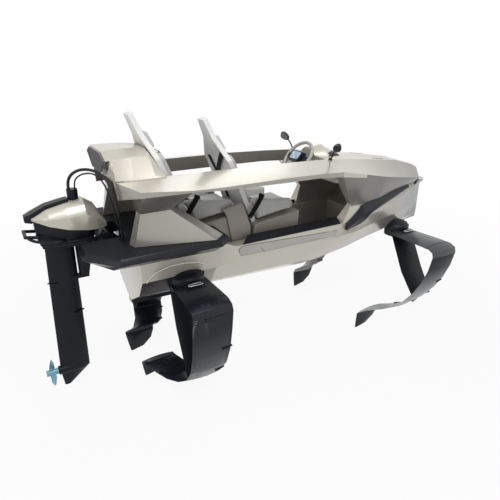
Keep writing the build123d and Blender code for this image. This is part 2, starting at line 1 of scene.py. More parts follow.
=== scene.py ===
import json
import math
import bmesh
import bpy
from mathutils import Matrix, Vector
from mathutils.bvhtree import BVHTree


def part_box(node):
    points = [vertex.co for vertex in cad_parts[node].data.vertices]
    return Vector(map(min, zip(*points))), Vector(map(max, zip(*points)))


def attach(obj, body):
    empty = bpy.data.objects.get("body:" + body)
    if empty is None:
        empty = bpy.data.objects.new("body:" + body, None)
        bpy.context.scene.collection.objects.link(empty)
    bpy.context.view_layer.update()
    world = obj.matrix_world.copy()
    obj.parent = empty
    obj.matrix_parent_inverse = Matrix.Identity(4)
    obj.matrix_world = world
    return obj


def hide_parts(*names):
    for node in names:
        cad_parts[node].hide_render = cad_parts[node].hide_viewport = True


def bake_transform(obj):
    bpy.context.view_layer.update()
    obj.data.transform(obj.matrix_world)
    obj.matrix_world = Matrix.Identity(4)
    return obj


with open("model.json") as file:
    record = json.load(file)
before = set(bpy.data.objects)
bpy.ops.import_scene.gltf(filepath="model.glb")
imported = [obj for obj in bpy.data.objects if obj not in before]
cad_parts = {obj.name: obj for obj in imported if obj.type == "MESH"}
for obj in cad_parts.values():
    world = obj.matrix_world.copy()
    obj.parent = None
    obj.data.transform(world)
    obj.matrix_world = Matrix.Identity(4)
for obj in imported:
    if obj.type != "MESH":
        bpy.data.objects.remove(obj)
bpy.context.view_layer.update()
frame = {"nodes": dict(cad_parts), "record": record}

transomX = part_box("hull")[0].x  # the boat's own lengths start at the transom


def place(x, y, z):  # metres forward of the transom, to port, up
    return Vector((transomX + x, y, z))


def spot(x, y, z):  # the same in millimetres
    return place(x / 1000, y / 1000, z / 1000)


def linked(name, data):  # a new object in the scene
    made = bpy.data.objects.new(name, data)
    bpy.context.scene.collection.objects.link(made)
    return made


# Camera, floor and light

viewpoint = {"spot": (-0.882, -3.6, 2.61), "down": 22.5, "heading": -30.2, "lens": 32.98}
studio = {"floor": (0.86, 0.86, 0.86), "shade": (0.8, 0.8, 0.8), "reach": 60, "fade": (2.2, 7.0),
          "wash": 0.92, "sky": 0.48, "middle": (1.4, 0, 1.0)}
lamps = {  # where each stands from the middle, its width and its power
    "key": ((-1.0, -3.0, 5.2), 4.0, 150),
    "fill": ((-5.0, -2.0, 2.0), 3.0, 24),
    "rim": ((2.5, 4.5, 4.0), 3.0, 30),
}


def setCamera():
    data = bpy.data.cameras.new("camera")
    data.lens = viewpoint["lens"]
    data.clip_end = 200
    camera = linked("camera", data)
    camera.location = place(*viewpoint["spot"])
    camera.rotation_euler = (math.radians(90 - viewpoint["down"]), 0, math.radians(viewpoint["heading"]))
    bpy.context.scene.camera = camera


setCamera()


class Signal:  # a socket that takes part in sums
    def __init__(self, tree, socket=None):
        self.tree = tree
        self.socket = socket

    def node(self, kind, settings=None, inputs=None, out=0):
        made = self.tree.nodes.new(kind)
        for key, value in (settings or {}).items():
            setattr(made, key, value)
        for key, value in (inputs or {}).items():
            if isinstance(value, Signal):
                self.tree.links.new(value.socket, made.inputs[key])
            else:
                made.inputs[key].default_value = value
        return Signal(self.tree, made.outputs[out] if made.outputs else None)

    def math(self, operation, left, right):
        return self.node("ShaderNodeMath", {"operation": operation}, {0: left, 1: right})

    def __add__(self, other):
        return self.math("ADD", self, other)

    def __sub__(self, other):
        return self.math("SUBTRACT", self, other)

    def __rsub__(self, other):
        return self.math("SUBTRACT", other, self)

    def __mul__(self, other):
        return self.math("MULTIPLY", self, other)

    def __gt__(self, other):
        return self.math("GREATER_THAN", self, other)

    __radd__ = __add__
    __rmul__ = __mul__


def newTree(name):
    material = bpy.data.materials.new(name)
    material.use_nodes = True
    material.node_tree.nodes.clear()
    return material, Signal(material.node_tree)


def rgba(colour):
    return (*colour, 1)


def objectSpace(tree):
    return tree.node("ShaderNodeTexCoord", out="Object")


def ramp(tree, value, stretch, low, high):  # low before the stretch, growing to high at its end
    return tree.node("ShaderNodeMapRange", None, {"Value": value, "From Min": stretch[0],
                                                  "From Max": stretch[1], "To Min": low, "To Max": high})


def noise(tree, scale, detail=3, stretch=(1, 1, 1)):  # object-space noise, 0 to 1
    here = tree.node("ShaderNodeMapping", None, {"Vector": objectSpace(tree), "Scale": stretch})
    return tree.node("ShaderNodeTexNoise", None, {"Vector": here, "Scale": scale, "Detail": detail})


def mixColour(tree, share, low, high):
    low = low if isinstance(low, Signal) else rgba(low)
    high = high if isinstance(high, Signal) else rgba(high)
    return tree.node("ShaderNodeMix", {"data_type": "RGBA"}, {0: share, 6: low, 7: high}, out=2)


def bumpOf(tree, height, strength, distance):
    return tree.node("ShaderNodeBump", None, {"Height": height, "Strength": strength, "Distance": distance})


def shade(tree, inputs):
    shader = tree.node("ShaderNodeBsdfPrincipled", None, inputs)
    tree.node("ShaderNodeOutputMaterial", None, {"Surface": shader})


def seenRays(tree):  # 1 where the eye looks, straight or by a reflection
    rays = [tree.node("ShaderNodeLightPath", out=name)
            for name in ("Is Camera Ray", "Is Glossy Ray", "Is Transmission Ray")]
    return tree.math("MAXIMUM", tree.math("MAXIMUM", rays[0], rays[1]), rays[2])


def floorMaterial(name):
    material, tree = newTree(name)
    tint = mixColour(tree, noise(tree, 0.6) * 0.03, studio["floor"], studio["shade"])
    matt = tree.node("ShaderNodeBsdfDiffuse", None, {"Color": tint})
    glow = tree.node("ShaderNodeEmission", None, {"Color": (1, 1, 1, 1), "Strength": 1.0})
    away = tree.node("ShaderNodeVectorMath", {"operation": "LENGTH"}, {0: objectSpace(tree)}, out="Value")
    wash = ramp(tree, away, studio["fade"], studio["wash"], 1.0)
    mixed = tree.node("ShaderNodeMixShader", None, {0: seenRays(tree) * wash, 1: matt, 2: glow})
    tree.node("ShaderNodeOutputMaterial", None, {"Surface": mixed})
    return material


def lamp(name, start, target, size, power):
    data = bpy.data.lights.new(name, "AREA")
    data.shape = "DISK"
    data.size = size
    data.energy = power
    made = linked(name, data)
    made.location = start
    made.rotation_euler = (Vector(target) - Vector(start)).to_track_quat("-Z", "Y").to_euler()


def setStage():
    mesh = bpy.data.meshes.new("floor")
    reach = studio["reach"]
    mesh.from_pydata([(-reach, -reach, 0), (reach, -reach, 0), (reach, reach, 0), (-reach, reach, 0)],
                     [], [(0, 1, 2, 3)])
    floor = linked("floor", mesh)
    mesh.materials.append(floorMaterial("pale_floor"))
    world = bpy.data.worlds.new("studio")
    bpy.context.scene.world = world
    world.use_nodes = True
    world.node_tree.nodes.clear()
    tree = Signal(world.node_tree)
    strength = seenRays(tree) * (1 - studio["sky"]) + studio["sky"]
    sky = tree.node("ShaderNodeBackground", None, {"Color": (1, 1, 1, 1), "Strength": strength})
    tree.node("ShaderNodeOutputWorld", None, {"Surface": sky})
    middle = place(*studio["middle"])
    for name, (away, size, power) in lamps.items():
        lamp(name, middle + Vector(away), middle, size, power)
    bpy.context.scene.view_settings.view_transform = "Standard"


setStage()
print("camera, floor and light are set")


# Finishes

# bow is the grey that painted shade turns the paint to near the bow
champagne = {"light": (0.60, 0.572, 0.495), "deep": (0.52, 0.495, 0.425), "spark": (0.85, 0.82, 0.75),
             "bow": (0.27, 0.265, 0.25), "flake": 900}
graphite = {"light": (0.019, 0.022, 0.028), "deep": (0.012, 0.014, 0.018)}
gripBlack = {"light": (0.012, 0.014, 0.018), "deep": (0.005, 0.006, 0.008), "grain": 420}
foilCharcoal = {"light": (0.013, 0.017, 0.024), "deep": (0.008, 0.0105, 0.016), "highlight": (0.5, 0.51, 0.52),
                "fade": (0.66, 0.28), "tip": 0.182}  # heights where the painted highlight starts, is full and ends
bowShadeStretch = (2.2, 3.3)  # metres forward of the transom where painted shade greys the paint
chineFade = (0.22, 0.58)  # and where the black underside, partly painted shade, ends


def alongBoat(tree, stretch, most):  # a share that grows over a stretch of the boat's length
    forward = tree.node("ShaderNodeSeparateXYZ", None, {0: objectSpace(tree)}, out=0)
    return ramp(tree, forward, [transomX + value for value in stretch], 0.0, most)


def champagnePaint(name, fade):  # pearl paint with fine flakes and a clear coat, with painted shade greying it towards the bow on some
    material, tree = newTree(name)
    cloud = noise(tree, 1.3, 2)
    flake = noise(tree, champagne["flake"], 1)
    colour = mixColour(tree, cloud, champagne["deep"], champagne["light"])
    colour = mixColour(tree, (flake > 0.62) * 0.3, colour, champagne["spark"])
    # painted shade: greyer towards the bow
    colour = mixColour(tree, alongBoat(tree, bowShadeStretch, fade), colour, champagne["bow"])
    ripple = bumpOf(tree, noise(tree, 3.0, 1), 0.02, 0.002)
    shade(tree, {"Base Color": colour, "Metallic": 0.4, "Roughness": flake * 0.12 + 0.26, "Normal": ripple,
                 "Coat Weight": 0.45, "Coat Roughness": 0.1})
    return material


def graphitePanel():  # dark satin trim
    material, tree = newTree("graphite_panel")
    colour = mixColour(tree, noise(tree, 3.0), graphite["deep"], graphite["light"])
    grain = bumpOf(tree, noise(tree, 300, 2), 0.02, 0.0004)
    shade(tree, {"Base Color": colour, "Roughness": noise(tree, 5.0) * 0.08 + 0.36, "Normal": grain,
                 "Specular IOR Level": 0.22})
    return material


def gripCoat():  # black anti-slip coat with a fine pebble
    material, tree = newTree("grip_coat")
    pebble = tree.node("ShaderNodeTexVoronoi", None, {"Vector": objectSpace(tree),
                                                      "Scale": gripBlack["grain"]})
    colour = mixColour(tree, pebble * 1.4, gripBlack["deep"], gripBlack["light"])
    grain = bumpOf(tree, pebble, 0.4, 0.0012)
    shade(tree, {"Base Color": colour, "Roughness": noise(tree, 6.0) * 0.2 + 0.45, "Normal": grain,
                 "Specular IOR Level": 0.2})
    return material


def foilCoat(name, highlight):  # satin charcoal drawn out along the chord, with a painted highlight low down on some
    material, tree = newTree(name)
    streak = noise(tree, 6, 2, (0.2, 1, 1))
    colour = mixColour(tree, streak, foilCharcoal["deep"], foilCharcoal["light"])
    height = tree.node("ShaderNodeSeparateXYZ", None, {0: objectSpace(tree)}, out=2)
    # painted highlight: a lighter band low on the blade
    fade = ramp(tree, height, foilCharcoal["fade"], 0.0, highlight)
    colour = mixColour(tree, fade * (height > foilCharcoal["tip"]), colour, foilCharcoal["highlight"])
    grain = bumpOf(tree, noise(tree, 300, 2), 0.015, 0.0004)
    shade(tree, {"Base Color": colour, "Roughness": streak * 0.05 + 0.27, "Normal": grain,
                 "Specular IOR Level": 0.25, "Coat Weight": 0.12, "Coat Roughness": 0.12})
    return material


def wovenCloth(name, deep, light, sheen, gloss):  # fine two-way weave
    material, tree = newTree(name)
    here = objectSpace(tree)
    waves = [tree.node("ShaderNodeTexWave", {"bands_direction": way}, {"Vector": here, "Scale": 160.0}, out=1)
             for way in ("X", "Y")]
    weave = waves[0] * 0.5 + waves[1] * 0.5
    colour = mixColour(tree, weave * 0.5 + noise(tree, 6.0) * 0.5, deep, light)
    shade(tree, {"Base Color": colour, "Roughness": noise(tree, 20.0) * 0.1 + 0.62,
                 "Normal": bumpOf(tree, weave, 0.25, 0.0008), "Sheen Weight": sheen,
                 "Specular IOR Level": gloss})
    return material


def plain(name, deep, light, rough, metallic=0.0, scale=8.0, grain=400, strength=0.08, gloss=0.5, coat=0.0,
          fade=None):  # fade is a stretch of the boat, the share at its end and the colour there
    material, tree = newTree(name)
    colour = mixColour(tree, noise(tree, scale), deep, light)
    if fade:
        colour = mixColour(tree, alongBoat(tree, fade[0], fade[1]), colour, fade[2])
    bump = bumpOf(tree, noise(tree, grain, 2), strength, 0.0006)
    patchy = noise(tree, scale * 1.7) * 0.12 + rough
    shade(tree, {"Base Color": colour, "Roughness": patchy, "Metallic": metallic, "Normal": bump,
                 "Specular IOR Level": gloss, "Coat Weight": coat, "Coat Roughness": 0.06})
    return material


def litScreen():  # the helm's lit glass, a soft bright patch with no signs on it
    material, tree = newTree("lit_screen")
    patch = noise(tree, 26.0, 2)
    colour = mixColour(tree, patch, (0.05, 0.16, 0.24), (0.72, 0.9, 1.0))
    shade(tree, {"Base Color": (0.01, 0.012, 0.015, 1), "Emission Color": colour, "Emission Strength": 0.8,
                 "Roughness": patch * 0.05 + 0.08})
    return material


plainFinishes = {  # deep and light colour, roughness, and what else differs from plain's own values
    "taupe_moulding": ((0.29, 0.268, 0.236), (0.37, 0.344, 0.305), 0.36, dict(scale=2, grain=700)),
    "rail_inner": ((0.19, 0.172, 0.148), (0.25, 0.228, 0.196), 0.38, dict(scale=2, grain=700)),
    "motor_black": ((0.0022, 0.0034, 0.006), (0.0045, 0.0065, 0.0105), 0.34, dict(gloss=0.22)),
    "root_black": ((0.005, 0.006, 0.009), (0.010, 0.012, 0.016), 0.36, dict(gloss=0.3)),
    "seat_shell_white": ((0.80, 0.80, 0.775), (0.86, 0.86, 0.835), 0.3, dict(scale=2.0, strength=0.01)),
    "lock_steel": ((0.55, 0.55, 0.56), (0.72, 0.72, 0.73), 0.2, dict(metallic=1.0, scale=30)),
    "propeller_blue": ((0.13, 0.32, 0.46), (0.2, 0.43, 0.58), 0.18, dict(coat=0.4)),
    "cable_black": ((0.004, 0.004, 0.005), (0.010, 0.010, 0.012), 0.4, dict(scale=60, gloss=0.35)),
    "battery_case": ((0.4, 0.4, 0.42), (0.5, 0.5, 0.52), 0.35, dict(metallic=0.8)),
    "wheel_grey": ((0.42, 0.42, 0.42), (0.55, 0.55, 0.55), 0.36, {}),
    # darker taupe for the quarter tops, and painted shade on the bow's flanks and undersides, darkening
    # further towards the bow
    "taupe_and_flank_shade": ((0.15, 0.143, 0.128), (0.205, 0.195, 0.178), 0.26,
                    dict(metallic=0.35, scale=2, grain=900, strength=0.03, coat=0.5,
                         fade=(bowShadeStretch, 0.9, (0.06, 0.059, 0.055)))),
    # black underside near the transom, partly a black bottom and partly painted shade under the chine, fading
    # to champagne forward
    "chine_black_and_shade": ((0.008, 0.009, 0.012), (0.014, 0.015, 0.019), 0.3,
                    dict(metallic=0.2, scale=2, grain=900, strength=0.03, gloss=0.25,
                         fade=(chineFade, 1.0, (0.42, 0.40, 0.345)))),
    "rail_shade": ((0.085, 0.084, 0.08), (0.12, 0.118, 0.112), 0.3,
                   dict(metallic=0.35, scale=2, grain=900, strength=0.03, coat=0.4)),
    "tunnel_liner": ((0.30, 0.287, 0.263), (0.38, 0.364, 0.335), 0.3, dict(metallic=0.2, scale=2, coat=0.3)),
    # a darker copy of the champagne paint: painted shade on side faces and in the well behind the seats
    "champagne_shaded": ((0.33, 0.317, 0.28), (0.42, 0.403, 0.36), 0.24,
                      dict(metallic=0.45, scale=1.5, grain=900, strength=0.02, coat=0.5)),
    # the tail end panel's aft face: a darker panel, darkened further with painted shade
    "end_slate_shade": ((0.055, 0.053, 0.049), (0.08, 0.077, 0.072), 0.5,
                  dict(metallic=0.2, scale=3, grain=900, strength=0.02, gloss=0.2)),
    # a lighter copy of the foil charcoal for the front arms: painted highlight
    "arm_lit_grey": ((0.045, 0.048, 0.052), (0.062, 0.066, 0.071), 0.26,
                 dict(metallic=0.2, scale=3, grain=300, strength=0.015, coat=0.2)),
    # darker slate on the bow's stem: painted shade
    "stem_shade_slate": ((0.095, 0.102, 0.122), (0.13, 0.138, 0.162), 0.2,
                   dict(metallic=0.35, scale=3, grain=900, strength=0.03, coat=0.6)),
    "graphite_gloss": ((0.006, 0.0075, 0.011), (0.012, 0.0145, 0.02), 0.22,
                       dict(scale=3, strength=0.01, gloss=0.2, coat=0.08)),
    # a light bead over the rear root: painted highlight along the flare edge there
    "highlight_bead": ((0.64, 0.62, 0.55), (0.74, 0.72, 0.65), 0.2, dict(metallic=0.5, scale=6, coat=0.5)),
    "sill_glass": ((0.36, 0.35, 0.325), (0.46, 0.45, 0.42), 0.08,
                   dict(metallic=0.2, scale=2, grain=900, strength=0.02, coat=0.8)),
    "mirror_glass": ((0.02, 0.022, 0.026), (0.035, 0.038, 0.044), 0.02,
                     dict(scale=3, grain=900, strength=0.0, coat=1.0)),
}
finishes = {name: plain(name, *row[:3], **row[3]) for name, row in plainFinishes.items()}
finishes.update({
    "champagne_paint": champagnePaint("champagne_paint", 0.0),
    # the hull and bow shell paint, with painted shade greying it towards the bow
    "champagne_bow_shade": champagnePaint("champagne_bow_shade", 0.85),
    "dark_trim": graphitePanel(),
    "black_grip": gripCoat(),
    # the last number is the share of painted highlight low on the blades, faint on the rear
    "foil_charcoal": foilCoat("foil_charcoal", 0.13),
    "foil_highlight": foilCoat("foil_highlight", 0.85),
    "seat_grey_pad": wovenCloth("seat_grey_pad", (0.50, 0.50, 0.485), (0.64, 0.64, 0.62), 0.2, 0.5),
    "webbing": wovenCloth("webbing", (0.003, 0.003, 0.004), (0.008, 0.008, 0.010), 0.0, 0.12),
    "lit_screen": litScreen(),
})
print("finishes are made")


# Pieces

def addPiece(name, mesh, body, slot, finish=None):
    if not mesh.materials:
        mesh.materials.append(finishes[finish or slot])
    piece = linked(name, mesh)
    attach(piece, body)
    return piece


def smoothMesh(mesh, angle):
    for polygon in mesh.polygons:
        polygon.use_smooth = True
    mesh.set_sharp_from_angle(angle=math.radians(angle))


def toMesh(shape, name, angle):
    bmesh.ops.recalc_face_normals(shape, faces=shape.faces)
    mesh = bpy.data.meshes.new(name)
    shape.to_mesh(mesh)
    shape.free()
    smoothMesh(mesh, angle)
    return mesh


def baked(holder, name):  # a mesh with the modifiers worked in, in place of the object
    mesh = bpy.data.meshes.new_from_object(holder.evaluated_get(bpy.context.evaluated_depsgraph_get()))
    mesh.name = name
    bpy.data.objects.remove(holder)
    return mesh


def twin(mesh):  # the same shape on the other side
    copy = mesh.copy()
    copy.transform(Matrix.Scale(-1, 4, (0, 1, 0)))
    copy.flip_normals()
    return copy


def moved(mesh, shift):
    copy = mesh.copy()
    copy.transform(Matrix.Translation(shift))
    return copy


def merged(name, meshes, angle=35):
    shape = bmesh.new()
    for mesh in meshes:
        shape.from_mesh(mesh)
    made = bpy.data.meshes.new(name)
    shape.to_mesh(made)
    shape.free()
    smoothMesh(made, angle)
    return made


def withTwins(name, meshes, angle=35):  # these and their mirror images as one mesh
    return merged(name, meshes + [twin(mesh) for mesh in meshes], angle)


def addPair(name, meshes, slot, finish=None, body="root", angle=35):  # one piece for both sides
    addPiece(name, withTwins(name, meshes, angle), body, slot, finish)


def roundEdges(shape, edges, radius, segments, profile):
    bmesh.ops.bevel(shape, geom=edges, offset=radius, offset_type="OFFSET", segments=segments,
                    profile=profile, affect="EDGES", clamp_overlap=True)


def stitch(shape, rings, loop=False, caps=True):  # walls from ring to ring, round again for a loop
    for low, high in zip(rings, rings[1:] + rings[:1] if loop else rings[1:]):
        for step in range(len(low)):
            after = (step + 1) % len(low)
            shape.faces.new((low[step], low[after], high[after], high[step]))
    if caps and not loop:
        shape.faces.new(list(reversed(rings[0])))
        shape.faces.new(rings[-1])


def prism(shape, near, far):  # two like outlines and the walls between them
    shape.faces.new(near)
    shape.faces.new(list(reversed(far)))
    for step in range(len(near)):
        after = (step + 1) % len(near)
        shape.faces.new((near[step], far[step], far[after], near[after]))


def slab(name, corners, shift, edge, segments=2):  # a flat outline pushed out, with rounded edges
    shape = bmesh.new()
    prism(shape, *[[shape.verts.new(corner + shift * end) for corner in corners] for end in (0, 1)])
    roundEdges(shape, shape.edges[:], edge, segments, 0.5)
    return toMesh(shape, name, 40)


def bandMesh(name, line, across, width, thick):  # a flat strap along a line
    shape = bmesh.new()
    rings = []
    for index, here in enumerate(line):
        along = (line[min(index + 1, len(line) - 1)] - line[max(index - 1, 0)]).normalized()
        side = (across - along * across.dot(along)).normalized()
        out = along.cross(side)
        rings.append([shape.verts.new(here + side * (width * a / 2) + out * (thick * b / 2))
                      for a, b in ((-1, -1), (1, -1), (1, 1), (-1, 1))])
    stitch(shape, rings)
    return toMesh(shape, name, 40)


def surfaceOf(mesh):
    return BVHTree.FromPolygons([vertex.co.copy() for vertex in mesh.vertices],
                                [tuple(polygon.vertices) for polygon in mesh.polygons])


def nodeSurface(node):
    return surfaceOf(frame["nodes"][node].data)


upward = Vector((0, 0, 1))
downward = -upward


def struck(surface, start, toward):  # where a ray meets a surface, and the way out there
    here, normal, index, reach = surface.ray_cast(start, toward.normalized())
    if here is None:
        return None
    return here, normal if normal.dot(toward) < 0 else -normal


def splineLine(name, points):  # a smooth line along a route, as a list of points
    curve = bpy.data.curves.new(name, "CURVE")
    curve.dimensions = "3D"
    curve.resolution_u = 10
    spline = curve.splines.new("NURBS")
    spline.points.add(len(points) - 1)
    for point, here in zip(spline.points, points):
        point.co = (*here, 1)
    spline.order_u = 3
    spline.use_endpoint_u = True
    mesh = baked(linked(name, curve), name)
    line = [vertex.co.copy() for vertex in mesh.vertices]
    bpy.data.curves.remove(curve)
    bpy.data.meshes.remove(mesh)
    return line


def tubeMesh(name, line, radius, sides, loop=False):  # a round tube whose rings don't twist, capped or a loop
    shape = bmesh.new()
    rings = []
    along = (line[1] - line[0]).normalized()
    across = along.orthogonal().normalized()
    for index, here in enumerate(line):
        before, after = line[max(index - 1, 0)], line[min(index + 1, len(line) - 1)]
        if loop:
            before, after = line[index - 1], line[(index + 1) % len(line)]
        turn = along.rotation_difference((after - before).normalized())
        along, across = turn @ along, (turn @ across).normalized()
        side = along.cross(across)
        ring = []
        for step in range(sides):
            angle = math.tau * step / sides
            ring.append(shape.verts.new(here + (across * math.cos(angle) + side * math.sin(angle)) * radius))
        rings.append(ring)
    stitch(shape, rings, loop)
    return toMesh(shape, name, 50)


# Motor cables, with the route's points in millimetres as the model has them

cables = {
    "power_cable": {"radius": 0.011, "sides": 14, "length": 0.973, "route": [
        (-372, 0, 1712), (-372, 0, 1762), (-350, -28, 1822), (-298, -88, 1868), (-228, -172, 1880),
        (-168, -256, 1850), (-130, -320, 1782), (-116, -346, 1690), (-108, -350, 1590), (-92, -330, 1496),
        (-82, -314, 1412), (-82, -314, 1340)]},
    "control_cable": {"radius": 0.006, "sides": 10, "length": 0.844, "route": [
        (-326, 0, 1712), (-326, 0, 1752), (-308, -22, 1798), (-262, -74, 1834), (-206, -146, 1842),
        (-172, -214, 1812), (-150, -268, 1748), (-136, -298, 1664), (-122, -306, 1572), (-104, -296, 1480),
        (-96, -286, 1404), (-96, -286, 1340)]},
}
bendZone = ((-0.12, -0.33, 1.5), (-0.34, -0.02, 1.75))  # metres, from the platform's part to the swivel's


def makeCables():
    for node, facts in cables.items():
        points = [spot(*row) for row in facts["route"]]
        line = splineLine(node, points)
        mesh = tubeMesh(node + "_run", line, facts["radius"], facts["sides"])
        mesh.materials.append(finishes["cable_black"])
        piece = linked(node + "_run", mesh)
        place(*bendZone[0])
        place(*bendZone[1])
        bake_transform(piece)
        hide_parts(node)


makeCables()
print("cables are laid")


# Skins over the model's own solids, with rounded edges, recesses, a second finish where the boat has one, and
# painted shade and highlights on some faces

skins = [  # node name start, edge radius, smooth angle
    ("hull", 0.006, 18), ("keel_strip", 0.003, 30), ("bow_shell", 0.008, 18), ("bow_beak", 0.005, 22),
    ("side_panel", 0.004, 25), ("tread", 0.003, 30), ("rail", 0.012, 20), ("quarter", 0.010, 25),
    ("bulkhead", 0.004, 30), ("stern_platform", 0.006, 25), ("seat_base", 0.016, 30),
    ("seat_back", 0.010, 30), ("tail_fairing", 0.010, 22), ("tail_end_panel", 0.002, 30), ("dash", 0.006, 30),
    ("steering_column", 0.002, 30), ("steering_wheel", 0.003, 30), ("foil_arm", 0.004, 30),
    ("foil_blade", 0.002, 35), ("foil_strut", 0.002, 35), ("foil_roots", 0.005, 30),
    ("foil_locks", 0.002, 35), ("clamp_bracket", 0.004, 30), ("swivel_bracket", 0.005, 30),
    ("cowl", 0.006, 25), ("lower_cowl", 0.006, 30), ("rear_cap", 0.006, 30), ("carry_handle", 0.002, 40),
    ("leg", 0.002, 35), ("propeller", 0.0015, 35), ("cable_gland", 0.004, 30), ("cockpit_floor", 0.002, 30),
    ("battery_block", 0.004, 30),
]
skinWork = {"weld": 0.00002, "flat": 0.4, "segments": 3, "profile": 0.6, "softer": 14}
recesses = {  # the way the face looks, then width and depth of each step
    "tail_end_panel": [((-1, 0, 0), [(0.024, -0.004), (0.026, -0.003)])],
    "seat_back": [((-0.927, 0, -0.375), [(0.016, -0.005)])],
    "seat_base": [((0, 1, 0), [(0.022, -0.004)]), ((0, -1, 0), [(0.022, -0.004)])],
    "stern_platform": [((0, 0, 1), [(0.024, -0.003)])],
}
wheelHub = spot(1748, 0, 1744)
wheelUp = Vector((0.643, 0, 0.766))
wheelOut = Vector((-0.766, 0, 0.643))  # towards the driver
borders = {  # where one finish gives way to another, in metres from the transom, up or from the wheel's hub
    "stem": 3.26, "chineEnd": 0.6, "deckLow": 1.0, "quarterTop": 1.588, "dashFront": 2.0, "dashTop": 1.79,
    "rim": 0.142,
}


def facesIn(centre, normal):  # towards the boat's middle
    return normal.y * centre.y < 0


def hullZone(centre, normal):  # each rule takes a face's middle and normal, and names a finish or none
    along = centre.x - transomX
    # painted shade: the stem's sides in darker slate
    if along > borders["stem"] and normal.z < 0.9:
        return "stem_shade_slate"
    # black on downward faces near the transom: partly the black bottom, partly painted shade
    if normal.z < -0.5 and along < borders["chineEnd"]:
        return "root_black" if normal.z < -0.85 else "chine_black_and_shade"
    inward = facesIn(centre, normal) and abs(centre.y) > 0.05
    if inward or (normal.z > 0.9 and centre.z < borders["deckLow"]):
        return "taupe_moulding"
    return "champagne_bow_shade"


def bowZone(centre, normal):
    inward = facesIn(centre, normal) and abs(centre.y) > 0.05
    if normal.z < -0.85 or (inward and normal.z < 0.4):
        return "tunnel_liner"
    # painted shade: downward-facing flank faces darker
    if normal.z < -0.12 and normal.x > -0.5:
        return "taupe_and_flank_shade"
    return "champagne_bow_shade"


def lowZone(centre, normal):
    if facesIn(centre, normal) and normal.z < 0.3:
        return "rail_inner"
    if normal.z < -0.15:
        return "rail_shade"


def railZone(centre, normal):
    # painted shade: the rail's outward sides darker than its top
    if abs(normal.z) < 0.5 and not facesIn(centre, normal):
        return "champagne_shaded"
    return lowZone(centre, normal)


def quarterZone(centre, normal):
    # darker taupe on the quarter's upper part; below it the darker champagne, painted shade
    return "taupe_and_flank_shade" if centre.z > borders["quarterTop"] else "champagne_shaded"


def platformZone(centre, normal):
    if normal.z < 0.9:
        return "graphite_gloss"


def dashZone(centre, normal):
    if centre.x - transomX > borders["dashFront"] and centre.z < borders["dashTop"]:
        return "dark_trim"


def wheelZone(centre, normal):
    arm = centre - wheelHub
    if (arm - wheelOut * arm.dot(wheelOut)).length < borders["rim"]:
        return "root_black"


def endZone(centre, normal):
    # the aft face dark slate, partly painted shade; its rim in the darker taupe
    return "taupe_and_flank_shade" if abs(normal.x) < 0.9 else "end_slate_shade"


def beakZone(centre, normal):
    # painted shade on the beak's sides and underside
    if normal.z < 0.2:
        return "taupe_and_flank_shade"


zones = {"hull": hullZone, "bow_shell": bowZone, "rail": railZone, "tail_fairing": lowZone,
         "quarter": quarterZone, "stern_platform": platformZone, "dash": dashZone,
         "steering_wheel": wheelZone, "tail_end_panel": endZone, "bow_beak": beakZone}
whole = {  # one finish all over, other than the slot's
    # the front blades and arms in lighter copies of the foil finish: painted highlight
    "foil_blade_front": "foil_highlight", "foil_arm_front": "arm_lit_grey", "foil_strut": "root_black",
    # the bulkhead in the darker champagne, painted shade in the well
    "foil_locks": "root_black", "bulkhead": "champagne_shaded", "rear_cap": "motor_black",
}
remade = ("seat_cushion_rear", "seat_cushion_front", "mirror_port", "mirror_starboard")


def byStart(table, node):
    return next((value for start, value in table.items() if node.startswith(start)), None)


def skinMesh(node, radius, angle):
    shape = bmesh.new()
    shape.from_mesh(frame["nodes"][node].data)
    bmesh.ops.remove_doubles(shape, verts=shape.verts, dist=skinWork["weld"])
    bmesh.ops.dissolve_limit(shape, angle_limit=math.radians(skinWork["flat"]), verts=shape.verts,
                             edges=shape.edges)
    for way, steps in byStart(recesses, node) or []:
        faces = [face for face in shape.faces if face.normal.dot(Vector(way)) > 0.93]
        for width, depth in steps:
            bmesh.ops.inset_region(shape, faces=faces, thickness=width, depth=depth, use_even_offset=True)
    sharp = [edge for edge in shape.edges if len(edge.link_faces) == 2
             and edge.calc_face_angle(0) > math.radians(angle)]
    roundEdges(shape, sharp, radius, skinWork["segments"], skinWork["profile"])
    mesh = bpy.data.meshes.new(node + "_skin")
    shape.to_mesh(mesh)
    shape.free()
    smoothMesh(mesh, angle + skinWork["softer"])
    return mesh


def paintZones(mesh, finish, rule):  # one material for each finish that the rule names, or this one
    names = [finish]
    mesh.materials.clear()
    for polygon in mesh.polygons:
        wanted = (rule(polygon.center, polygon.normal) if rule else None) or finish
        if wanted not in names:
            names.append(wanted)
        polygon.material_index = names.index(wanted)
    for name in names:
        mesh.materials.append(finishes[name])


def dressNodes():
    slots = {row["node"]: row["material_slot"] for row in frame["record"]["subparts"]}
    bodies = frame["record"]["behaviour"]["bodies"]
    for node in frame["nodes"]:
        if node in cables or node in remade:
            continue
        radius, angle = next((row[1], row[2]) for row in skins if node.startswith(row[0]))
        body = next(body for body, members in bodies.items() if node in members)
        mesh = skinMesh(node, radius, angle)
        paintZones(mesh, byStart(whole, node) or slots[node], byStart(zones, node))
        piece = addPiece(node + "_skin", mesh, body, slots[node])
        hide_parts(node)


dressNodes()
print("solids are dressed")


# Small round parts set out in numbers, by one node group

